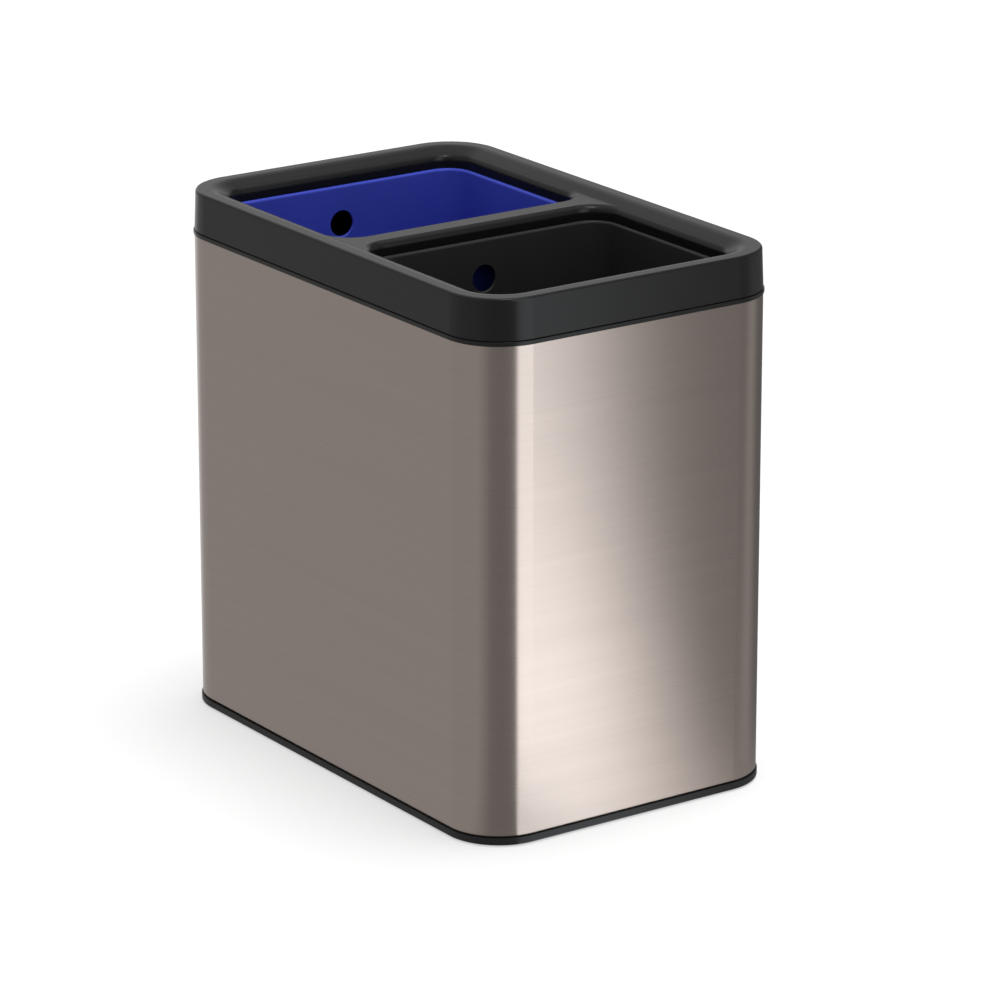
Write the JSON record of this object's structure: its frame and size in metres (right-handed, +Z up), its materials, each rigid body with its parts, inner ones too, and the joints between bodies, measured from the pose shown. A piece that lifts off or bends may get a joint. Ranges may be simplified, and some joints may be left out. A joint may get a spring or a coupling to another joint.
{
  "type": "double recycling bin",
  "caption": "Open-top recycling bin: a steel sleeve on a plastic base, a lift-off rim frame with windows, and hanging inner buckets.",
  "frame": {"origin": "middle of the underside, on the floor under the feet", "axes": "+Z up; -Y is the narrow front, seen at the right of the picture; +X is to the right when the narrow front is seen square on"},
  "size_m": [0.2366, 0.3646, 0.36],
  "materials": {
    "brushed_sheet": "fine horizontal brushing",
    "frame_black": "satin, fine moulded grain",
    "tray_black": "satin",
    "bucket_blue": "satin",
    "bucket_black": "satin",
    "foot_rubber": "matt",
    "screw_zinc": "bright zinc plate on steel"
  },
  "bodies": {
    "bin": {"steel_sleeve": "brushed_sheet", "base_tray": "tray_black", "base_screws": "screw_zinc", "foot_front_left": "foot_rubber", "foot_front_right": "foot_rubber", "foot_rear_left": "foot_rubber", "foot_rear_right": "foot_rubber", "top_collar": "frame_black"},
    "frame": {"rim_frame": "frame_black"},
    "recycling": {"recycling_bucket": "bucket_blue"},
    "waste": {"waste_bucket": "bucket_black"}
  },
  "joints": [
    {"name": "frame_lift", "type": "slide", "parent": "bin", "child": "frame", "axis": [0, 0, 1], "range_m": [0, 0.45]},
    {"name": "recycling_lift", "type": "slide", "parent": "bin", "child": "recycling", "axis": [0, 0, 1], "range_m": [0, 0.3375]},
    {"name": "waste_lift", "type": "slide", "parent": "bin", "child": "waste", "axis": [0, 0, 1], "range_m": [0, 0.3375]}
  ],
  "couplings": [
    {"joint": "recycling_lift", "follows": "frame_lift", "ratio": 0.75},
    {"joint": "waste_lift", "follows": "frame_lift", "ratio": 0.75}
  ]
}
